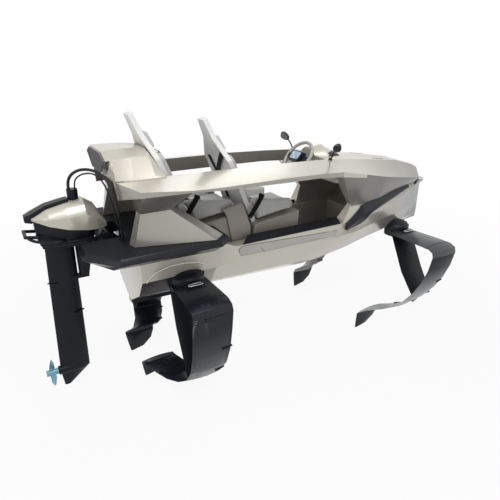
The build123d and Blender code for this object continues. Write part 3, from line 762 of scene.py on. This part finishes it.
def studGroup():
    group = bpy.data.node_groups.new("studs", "GeometryNodeTree")
    for label, kind in (("Geometry", "Geometry"), ("Radius", "Float"), ("Length", "Float"), ("Sides", "Int"),
                        ("Finish", "Material")):
        group.interface.new_socket(label, in_out="INPUT", socket_type="NodeSocket" + kind)
    group.interface.new_socket("Geometry", in_out="OUTPUT", socket_type="NodeSocketGeometry")
    tree = Signal(group)
    start = group.nodes.new("NodeGroupInput")
    given = {socket.name: Signal(group, socket) for socket in start.outputs if socket.name}
    facing = tree.node("GeometryNodeInputNamedAttribute", {"data_type": "FLOAT_VECTOR"}, {"Name": "facing"})
    turn = tree.node("FunctionNodeAlignRotationToVector", {"axis": "Z"}, {"Vector": facing})
    stud = tree.node("GeometryNodeMeshCylinder", None, {"Vertices": given["Sides"], "Radius": given["Radius"],
                                                        "Depth": given["Length"]})
    many = tree.node("GeometryNodeInstanceOnPoints", None, {"Points": given["Geometry"], "Instance": stud,
                                                            "Rotation": turn})
    real = tree.node("GeometryNodeRealizeInstances", None, {"Geometry": many})
    done = tree.node("GeometryNodeSetMaterial", None, {"Geometry": real, "Material": given["Finish"]})
    tree.node("NodeGroupOutput", None, {"Geometry": done})
    return group


studs = studGroup()


def scatter(name, places, radius, length, sides, slot, body):  # places are pairs of spot and facing
    points = bpy.data.meshes.new(name)
    points.from_pydata([here for here, facing in places], [], [])
    ways = points.attributes.new("facing", "FLOAT_VECTOR", "POINT")
    ways.data.foreach_set("vector", [value for here, facing in places for value in facing])
    holder = linked(name, points)
    modifier = holder.modifiers.new("studs", "NODES")
    modifier.node_group = studs
    wanted = {"Radius": radius, "Length": length, "Sides": sides, "Finish": finishes[slot]}
    for item in studs.interface.items_tree:
        if item.in_out == "INPUT" and item.name in wanted:
            modifier[item.identifier] = wanted[item.name]
    mesh = baked(holder, name)
    smoothMesh(mesh, 40)
    return addPiece(name, mesh, body, slot)


# Seats: padded cushions, side bolsters, back pads and harness, measured from each seat's hip in millimetres

seats = {"rear": (520, 1345), "front": (1140, 1270)}
backWay = (-0.3746, 0.9272)  # up along the seat back, as x and z
frontWay = (0.9272, 0.3746)  # out of its front face
padding = {
    "cushion": {"outline": [(18, 8), (436, 56), (442, 108), (300, 106), (80, 98), (-8, 120)], "half": 200},
    "bolster": {"outline": [(8, 16), (374, 66), (378, 158), (300, 178), (125, 201), (24, 228), (-72, 210)],
                "near": 210, "far": 256},
    "back": {"outline": [(160, -190), (160, 190), (590, 190), (640, 150), (640, -150), (590, -190)],
             "off": 6, "thick": 0.034, "edge": 0.013},
    "head": {"outline": [(680, -105), (680, 105), (800, 62), (800, -62)],
             "off": 6, "thick": 0.03, "edge": 0.012},
    "edge": 0.016, "voxel": 0.006, "pressure": 4.0, "cap": 0.010, "frames": 20,
}
seams = {"lines": (-0.118, 0.118), "depth": 0.006, "width": 0.007}
stitching = {"from": 90, "to": 425, "pitch": 9, "rows": (-124, -112, 112, 124), "radius": 0.0008,
             "long": 0.006, "sides": 6, "way": (1, 0, 0.03), "above": 400, "lift": 0.0002}


def hipSpot(seat, x, y, z):
    return spot(seats[seat][0] + x, y, seats[seat][1] + z)


def backSpot(seat, up, y, out):  # up the seat back, across, and out of its front face
    return hipSpot(seat, backWay[0] * up + frontWay[0] * out, y, backWay[1] * up + frontWay[1] * out)


def inflated(mesh):  # remeshed fine, blown up a little as cloth, and smoothed
    holder = linked(mesh.name, mesh)
    voxels = holder.modifiers.new("voxels", "REMESH")
    voxels.mode = "VOXEL"
    voxels.voxel_size = padding["voxel"]
    base = baked(holder, mesh.name + "_base")
    holder = linked(base.name, base)
    cloth = holder.modifiers.new("cloth", "CLOTH")
    cloth.settings.use_pressure = True
    cloth.settings.uniform_pressure_force = padding["pressure"]
    cloth.settings.effector_weights.gravity = 0
    cloth.settings.quality = 3
    cloth.point_cache.frame_start = 1
    cloth.point_cache.frame_end = padding["frames"]
    scene = bpy.context.scene
    for step in range(1, padding["frames"] + 1):
        scene.frame_set(step)
    soft = baked(holder, mesh.name + "_soft")
    moves = [new.co - old.co for new, old in zip(soft.vertices, base.vertices)]
    drift = sum(moves, Vector()) / len(moves)
    for old, vertex, move in zip(base.vertices, soft.vertices, moves):
        move = move - drift
        if move.length > padding["cap"]:
            move = move * (padding["cap"] / move.length)
        vertex.co = old.co + move
    scene.frame_set(1)
    holder = linked(soft.name, soft)
    finer = holder.modifiers.new("finer", "SUBSURF")
    finer.levels = finer.render_levels = 1
    return baked(holder, mesh.name + "_pad")


def pressSeams(mesh):  # sewn channels along the pad
    mesh.update()
    normals = [vertex.normal.copy() for vertex in mesh.vertices]  # read before any of them moves
    for vertex, normal in zip(mesh.vertices, normals):
        share = sum(math.exp(-((vertex.co.y - line) / seams["width"]) ** 2) for line in seams["lines"])
        if normal.z > 0.2:
            vertex.co -= normal * (seams["depth"] * share)


def sidePad(name, outline, near, far):  # a pad drawn from the side
    corners = [hipSpot("rear", x, near, z) for x, z in outline]
    return slab(name, corners, Vector((0, (far - near) / 1000, 0)), padding["edge"], 3)


def frontPad(name, facts, segments):  # a pad drawn on the seat back
    corners = [backSpot("rear", up, y, facts["off"]) for up, y in facts["outline"]]
    out = Vector((frontWay[0], 0, frontWay[1])) * facts["thick"]
    return slab(name, corners, out, facts["edge"], segments)


def stitchPlaces(seat, mesh):
    top = surfaceOf(mesh)
    places = []
    for x in range(stitching["from"], stitching["to"], stitching["pitch"]):
        for y in stitching["rows"]:
            here, normal = struck(top, hipSpot(seat, x, y, stitching["above"]), downward)
            places.append((here + normal * stitching["lift"], stitching["way"]))
    return places


def makePads():
    step = hipSpot("front", 0, 0, 0) - hipSpot("rear", 0, 0, 0)
    facts = padding["cushion"]
    cushion = inflated(sidePad("cushion", facts["outline"], -facts["half"], facts["half"]))
    pressSeams(cushion)
    facts = padding["bolster"]
    bolster = inflated(sidePad("bolster", facts["outline"], facts["near"], facts["far"]))
    backPad = inflated(frontPad("back_pad", padding["back"], 3))
    headPad = frontPad("head_pad", padding["head"], 4)
    pads = [("soft_cushion", cushion, 0.6), ("back_pad", backPad, 0.5), ("head_pad", headPad, 0.5),
            ("bolsters", withTwins("bolsters", [bolster], 60), 0.6)]
    stitches = []
    for seat in seats:
        for name, mesh, fill in pads:
            copy = moved(mesh, step if seat == "front" else Vector())
            smoothMesh(copy, 60)
            piece = addPiece("seat_" + name + "_" + seat, copy, "root", "seat_grey_pad")
            if name == "soft_cushion":
                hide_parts("seat_cushion_" + seat)
                stitches += stitchPlaces(seat, copy)
    scatter("seat_stitches", stitches, stitching["radius"], stitching["long"], stitching["sides"],
            "seat_grey_pad", "root")


harness = {
    "lap": [(-92, 276, 58), (-40, 279, 128), (20, 280, 216), (40, 276, 250), (58, 232, 246), (72, 190, 178),
            (86, 110, 132), (98, 36, 126)],  # from the hip
    "shoulder": [(664, 78, 2), (652, 80, 40), (600, 84, 54), (400, 80, 54), (220, 56, 54), (160, 40, 62)],
    "shoulderEnd": (104, 14, 134),
    "behind": [[(683, -169), (600, -70), (511, 34), (420, 66), (200, 66)],
               [(630, 117), (560, 112), (498, 95), (420, 72), (200, 68)]],  # on the back of the front seat
    "behindOff": -51, "wide": 0.046, "behindWide": 0.05, "thick": 0.003,
    "buckle": [(84, -30), (136, -30), (136, 30), (84, 30)], "buckleUp": 126, "buckleThick": 0.02,
    "buckleEdge": 0.006, "slope": 0.03,
}


def strap(name, points, across, width):
    return bandMesh(name, splineLine(name, points), Vector(across).normalized(), width, harness["thick"])


def makeHarness():
    bands = []
    buckles = []
    for seat in seats:
        lap = strap("lap", [hipSpot(seat, *row) for row in harness["lap"]], (0.9, 0, -0.4), harness["wide"])
        line = [backSpot(seat, *row) for row in harness["shoulder"]]
        line.append(hipSpot(seat, *harness["shoulderEnd"]))
        shoulder = strap("shoulder", line, (0, 1, 0), harness["wide"])
        bands += [lap, twin(lap), shoulder, twin(shoulder)]
        plate = [hipSpot(seat, x, y, harness["buckleUp"] + x * harness["slope"])
                 for x, y in harness["buckle"]]
        buckles.append(slab("buckle", plate, upward * harness["buckleThick"], harness["buckleEdge"], 3))
    for route in harness["behind"]:
        line = [backSpot("front", up, y, harness["behindOff"]) for up, y in route]
        bands.append(strap("rear_strap", line, (0, 1, 0.1), harness["behindWide"]))
    addPiece("harness", merged("harness", bands), "root", "cable_black", "webbing")
    addPiece("harness_buckles", merged("harness_buckles", buckles), "root", "lock_steel")


cheek = {"outline": [(764, 1448), (928, 1484), (968, 1470), (1044, 1262), (1040, 1110), (850, 1110),
                     (820, 1380)],
         "off": 272, "thick": 0.038, "edge": 0.010}


def makeCheeks():  # taupe side shells between the two seats
    corners = [spot(x, cheek["off"], z) for x, z in cheek["outline"]]
    shell = slab("cheek", corners, Vector((0, cheek["thick"], 0)), cheek["edge"], 3)
    addPair("seat_cheeks", [shell], "taupe_moulding")


makePads()
makeHarness()
makeCheeks()
print("seats are upholstered")


# Helm: pod and lit screen on the wheel, and the mirrors

helm = {
    "pod": {"wide": 0.150, "high": 0.104, "corner": 0.026, "out": 0.010, "thick": 0.030, "edge": 0.006},
    "glass": {"wide": 0.124, "high": 0.078, "corner": 0.016, "out": 0.0385, "thick": 0.003, "edge": 0.001},
}


def helmPlate(name, segments):  # a rounded rectangle in the wheel's own plane
    facts = helm[name]
    corner = facts["corner"]
    points = []
    for turn in range(4):
        centreY = (facts["wide"] / 2 - corner) * (1 if turn in (0, 3) else -1)
        centreUp = (facts["high"] / 2 - corner) * (1 if turn in (0, 1) else -1)
        for part in range(5):
            angle = math.radians(turn * 90 + part * 22.5)
            y, up = centreY + corner * math.cos(angle), centreUp + corner * math.sin(angle)
            points.append(wheelHub + Vector((0, y, 0)) + wheelUp * up + wheelOut * facts["out"])
    return slab(name, points, wheelOut * facts["thick"], facts["edge"], segments)


def makeHelm():
    addPiece("helm_pod", helmPlate("pod", 3), "wheel", "root_black")
    addPiece("helm_screen", helmPlate("glass", 2), "wheel", "root_black", "lit_screen")


mirrors = {"foot": (1900, 300, 1752), "head": (1875, 414, 1882), "size": (0.023, 0.060, 0.037),
           "square": 0.82, "flat": -0.55, "flare": 3.2, "toe": 10, "lean": 18, "stalk": 0.007,
           "low": (0.004, 0.03, 0.05), "high": (0.01, -0.05, -0.03), "top": (0.006, -0.01, -0.004),
           "rings": [("base", 0.021, -0.004, 0.012), ("cap", 0.013, 0.012, 0.022)]}  # radius and heights


def mirrorHead(turn):
    shape = bmesh.new()
    bmesh.ops.create_uvsphere(shape, u_segments=36, v_segments=24, radius=1.0)
    for vertex in shape.verts:  # squared-off ball, cut flat where the glass is
        vertex.co = Vector([math.copysign(abs(value) ** mirrors["square"], value) for value in vertex.co])
        vertex.co.x = max(vertex.co.x, mirrors["flat"])
        vertex.co = Vector([value * reach for value, reach in zip(vertex.co, mirrors["size"])])
        vertex.co.z *= 1 + mirrors["flare"] * vertex.co.y  # taller at the outer end
    shape.transform(Matrix.Translation(spot(*mirrors["head"])) @ turn)
    mesh = toMesh(shape, "mirror_head", 50)
    aft = turn.to_3x3() @ Vector((-1, 0, 0))
    paintZones(mesh, "dark_trim", lambda centre, normal: "mirror_glass" if normal.dot(aft) > 0.98 else None)
    return mesh


def makeMirrors():
    toe = Matrix.Rotation(math.radians(mirrors["toe"]), 4, "Z")
    lean = Matrix.Rotation(math.radians(mirrors["lean"]), 4, "X")
    foot, head = spot(*mirrors["foot"]), spot(*mirrors["head"])
    line = splineLine("stalk", [foot, foot + Vector(mirrors["low"]), head + Vector(mirrors["high"]),
                                head + Vector(mirrors["top"])])
    port = [mirrorHead(toe @ lean), tubeMesh("stalk", line, mirrors["stalk"], 12)]
    for name, radius, low, high in mirrors["rings"]:
        port.append(tubeMesh(name, [foot + upward * low, foot + upward * high], radius, 20))
    for side, meshes in (("port", port), ("starboard", [twin(mesh) for mesh in port])):
        mesh = merged("mirror_dress_" + side, meshes, 50)
        for name in ("dark_trim", "mirror_glass"):
            mesh.materials.append(finishes[name])
        piece = addPiece("mirror_dress_" + side, mesh, "root", "dark_trim")
        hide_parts("mirror_" + side)


makeHelm()
makeMirrors()
print("helm is fitted")


# Foils: bands at the knuckle and fences across the blades, cut from the blade's own section

foils = {  # y, z and heading of each cut, as the model's rows have them, with the middle of the chord
    "rear": {"bands": [("arm", 770, 910, 4, 382), ("arm", 790, 909, 4, 382), ("blade", 885, 830, 90, 381),
                       ("blade", 885, 808, 90, 380)],
             "fences": [(868, 520, 98, 365), (760, 262, 126, 350), (640, 146, 149, 330),
                        (500, 95, 176, 265)]},
    "front": {"bands": [("arm", 790, 856, 3, 2965), ("arm", 810, 856, 4, 2965), ("blade", 905, 772, 88, 2950),
                        ("blade", 905, 752, 89, 2944)],
              "fences": [(882, 500, 106, 2838), (752, 262, 133, 2680), (660, 200, 166, 2540)]},
}
foilTrim = {"band": (0.0015, 0.005), "fence": (0.013, 0.007),  # growth and thickness
            "fenceChord": (0.76, 1.0)}  # share of the chord


def cutPoints(node, middle, along, reach):  # the node's outline where a plane cuts it
    shape = bmesh.new()
    shape.from_mesh(frame["nodes"][node].data)
    everything = shape.verts[:] + shape.edges[:] + shape.faces[:]
    cut = bmesh.ops.bisect_plane(shape, geom=everything, plane_co=middle, plane_no=along)["geom_cut"]
    points = [item.co.copy() for item in cut if isinstance(item, bmesh.types.BMVert)]
    shape.free()
    return [point for point in points if (point - middle).length < reach]


def sectionPlate(node, middle, along, grow, thick, reach=0.24, share=(0.0, 1.0)):  # a plate a little larger
    points = cutPoints(node, middle, along, reach)
    chord = Vector((1, 0, 0))
    chord = (chord - along * chord.dot(along)).normalized()
    across = along.cross(chord)
    flat = [((point - middle).dot(chord), (point - middle).dot(across)) for point in points]
    lowU, highU = min(u for u, v in flat), max(u for u, v in flat)
    lowV, highV = min(v for u, v in flat), max(v for u, v in flat)
    midU, midV, long, high = (lowU + highU) / 2, (lowV + highV) / 2, highU - lowU, highV - lowV
    stretchU, stretchV = 1 + 2 * grow / long, 1 + 2 * grow / high
    flat.sort(key=lambda pair: math.atan2((pair[1] - midV) / high, (pair[0] - midU) / long))
    floorU, roofU = lowU + share[0] * long, lowU + share[1] * long
    outline = []
    for u, v in flat:
        grownU, grownV = midU + (u - midU) * stretchU, midV + (v - midV) * stretchV
        grownU = max(grownU, floorU) if share[0] > 0 else grownU
        grownU = min(grownU, roofU) if share[1] < 1 else grownU
        outline.append(middle + chord * grownU + across * grownV)
    plate = bmesh.new()
    prism(plate, *[[plate.verts.new(point + along * (thick * end / 2)) for point in outline]
                   for end in (-1, 1)])
    bmesh.ops.remove_doubles(plate, verts=plate.verts, dist=0.0004)
    return toMesh(plate, node + "_plate", 35)


def foilCut(kind, end, y, z, heading, x, trim, share=(0.0, 1.0)):
    angle = math.radians(heading)
    along = Vector((0, -math.cos(angle), -math.sin(angle)))
    node = "foil_" + kind + "_" + end + "_starboard"
    return sectionPlate(node, spot(x, -y, z), along, *foilTrim[trim], share=share)


def dressFoils():
    bands = []
    fences = []
    for end, facts in foils.items():
        bands += [foilCut(kind, end, *row, "band") for kind, *row in facts["bands"]]
        fences += [foilCut("blade", end, *row, "fence", foilTrim["fenceChord"]) for row in facts["fences"]]
    addPair("foil_bands", bands, "root_black")
    addPair("foil_fences", fences, "foil_charcoal", "root_black")


lockPad = {"half": (0.080, 0.032), "thick": 0.005, "straight": 0.044, "bend": 0.017, "tube": 0.0045,
           "drop": 0.006, "steps": 32, "edge": 0.002, "above": 2}


def makeLockPads():  # a dark pad under each lock and a bright loop round its bar
    bars = [vertex.co for vertex in frame["nodes"]["foil_locks"].data.vertices if vertex.co.y < 0]
    pads = []
    loops = []
    for end in foils:
        bar = [co for co in bars if (co.x < place(1.5, 0, 0).x) == (end == "rear")]
        middle = Vector([(min(values) + max(values)) / 2 for values in zip(*bar)])
        arm = nodeSurface("foil_arm_" + end + "_starboard")
        corners = []
        for a, b in ((-1, -1), (1, -1), (1, 1), (-1, 1)):
            start = Vector((middle.x + a * lockPad["half"][0], middle.y + b * lockPad["half"][1],
                            lockPad["above"]))
            corners.append(struck(arm, start, downward)[0])
        pads.append(slab("lock_pad", corners, upward * lockPad["thick"], lockPad["edge"]))
        middle.z = max(co.z for co in bar) - lockPad["drop"]
        ring = []
        for step in range(lockPad["steps"]):
            angle = math.tau * (step + 0.5) / lockPad["steps"]
            x = math.copysign(lockPad["straight"], math.cos(angle)) + lockPad["bend"] * math.cos(angle)
            ring.append(middle + Vector((x, lockPad["bend"] * math.sin(angle), 0)))
        loops.append(tubeMesh("lock_loop", ring, lockPad["tube"], 10, True))
    addPair("lock_pads", pads, "root_black")
    addPair("lock_loops", loops, "lock_steel", angle=50)


dressFoils()
makeLockPads()
print("foils are fenced")


# Trim on the hull and bow: sill insert, a light arch over the rear root that is a painted highlight, hatch
# seam

sill = {"columns": [(846, 1111, 1121), (872, 1060, 1150), (1000, 1057, 1144), (1180, 1054, 1135),
                    (1360, 1052, 1126), (1540, 1050, 1117), (1720, 1048, 1108), (1920, 1046, 1098)],
        "seam": [(1064, 1097), (1110, 1049)],  # x with the low and high edge, then x and z
        "frame": (4, 0.0015), "insert": (0, 0.0035),  # growth all round and lift off the hull
        "bead": (0.002, 0.0032), "sunk": -0.003, "beside": -1500}
# arch: a light bead along the flare edge over the rear root, a painted highlight
arch = {"line": [(33, 1000), (105, 1072), (231, 1106), (358, 1104), (470, 1084), (520, 1058)],
        "bead": (0.010, 0.002), "parts": 4}
hatch = {"line": [(2560, -170, 1668), (2620, -160, 1625), (2711, -150, 1562), (2821, -150, 1506)],
         "radius": 0.003}


def onSide(hull, x, z, lift):  # a point on the starboard side, lifted off it
    here, normal = struck(hull, spot(x, sill["beside"], z), Vector((0, 1, 0)))
    return here + normal * lift


def sidePanel(columns, grow, lift):  # a thin panel that follows the hull's side
    hull = nodeSurface("hull")
    shape = bmesh.new()
    rings = []
    for index, (x, low, high) in enumerate(columns):
        x = x + grow * (-1 if index == 0 else 1 if index == len(columns) - 1 else 0)
        heights = [low - grow + (high - low + 2 * grow) * part / 3 for part in range(4)]
        outer = [shape.verts.new(onSide(hull, x, z, lift)) for z in heights]
        inner = [shape.verts.new(onSide(hull, x, z, sill["sunk"])) for z in heights]
        rings.append(outer + inner[::-1])
    for ring in (rings[0], rings[-1]):  # ends in squares, not one long face
        for part in range(3):
            shape.faces.new((ring[part], ring[part + 1], ring[6 - part], ring[7 - part]))
    stitch(shape, rings, caps=False)
    return toMesh(shape, "side_panel", 30)


def sideBead(points, radius, lift):  # a bead that follows the hull's side
    hull = nodeSurface("hull")
    return tubeMesh("bead", splineLine("bead", [onSide(hull, x, z, lift) for x, z in points]), radius, 8)


def makeTrim():
    addPair("sill_frame", [sidePanel(sill["columns"], *sill["frame"])], "dark_trim", "rail_shade")
    addPair("sill_insert", [sidePanel(sill["columns"], *sill["insert"])], "champagne_paint", "sill_glass")
    addPair("sill_seam", [sideBead(sill["seam"], *sill["bead"])], "dark_trim")
    line, parts = arch["line"], arch["parts"]
    fine = [tuple(start[i] + (end[i] - start[i]) * part / parts for i in (0, 1))
            for start, end in zip(line, line[1:]) for part in range(parts)] + [line[-1]]
    addPair("root_arch", [sideBead(fine, *arch["bead"])], "champagne_paint", "highlight_bead")
    bow = nodeSurface("bow_shell")
    line = [bow.find_nearest(spot(*row))[0] for row in hatch["line"]]
    addPair("hatch_seam", [tubeMesh("hatch_seam", line, hatch["radius"], 8)], "dark_trim", "rail_shade")


makeTrim()
print("trim is laid")


# Motor: ribs and bars round the lower cowl, small fins on the leg, and the bolts of motor and foil roots

motorTrim = {
    "bar": [(-716, -70, 1410), (-704, -112, 1398), (-640, -146, 1380), (-560, -150, 1366), (-484, -146, 1356),
            (-462, -118, 1352)],
    "barRadius": 0.011, "ribX": -440, "ribHeights": (1296, 1324, 1352, 1380),
    "ribSize": (0.004, 0.008, 0.5),  # growth, thickness and how far the cut reaches
    "fins": [(690, 0.016, (0.72, 1.0)), (980, 0.014, (0.0, 0.25))],  # height, growth and share of the chord
    "finX": -510, "finThick": 0.007, "finReach": 0.4,
}
bolts = {"rootRings": [(385, 372, 116), (2990, 225, 98)], "count": 10,  # x, y and radius of each ring
         "cowlRow": (-300, -380, -460, -540, -610), "cowlHeight": 1404, "above": 1500, "beside": 600,
         "rootSize": (0.008, 0.010, 6), "cowlSize": (0.006, 0.008, 6)}  # radius, length and sides


def rootBolts():
    roots = nodeSurface("foil_roots")
    places = []
    for x, y, radius in bolts["rootRings"]:
        for side in (-1, 1):
            for turn in range(bolts["count"]):
                angle = math.tau * turn / bolts["count"]
                start = spot(x + radius * math.cos(angle), side * y + radius * math.sin(angle),
                             bolts["above"])
                places.append(struck(roots, start, downward))
    return [found for found in places if found]  # a bolt only where the ring meets the root


def cowlBolts():
    lower = nodeSurface("lower_cowl")
    return [struck(lower, spot(x, side * bolts["beside"], bolts["cowlHeight"]), Vector((0, -side, 0)))
            for x in bolts["cowlRow"] for side in (-1, 1)]


def makeMotor():
    ribs = [sectionPlate("lower_cowl", spot(motorTrim["ribX"], 0, z), upward, *motorTrim["ribSize"])
            for z in motorTrim["ribHeights"]]
    addPiece("cowl_ribs", merged("cowl_ribs", ribs), "outboard", "motor_black")
    fins = [sectionPlate("leg", spot(motorTrim["finX"], 0, z), upward, grow, motorTrim["finThick"],
                         motorTrim["finReach"], share)
            for z, grow, share in motorTrim["fins"]]
    addPiece("leg_fins", merged("leg_fins", fins), "outboard", "motor_black")
    line = splineLine("side_bar", [spot(*row) for row in motorTrim["bar"]])
    bar = tubeMesh("side_bar", line, motorTrim["barRadius"], 12)
    addPair("side_bars", [bar], "motor_black", body="outboard", angle=50)
    scatter("root_bolts", rootBolts(), *bolts["rootSize"], "root_black", "root")
    scatter("cowl_bolts", cowlBolts(), *bolts["cowlSize"], "motor_black", "outboard")


makeMotor()
print("motor is dressed")
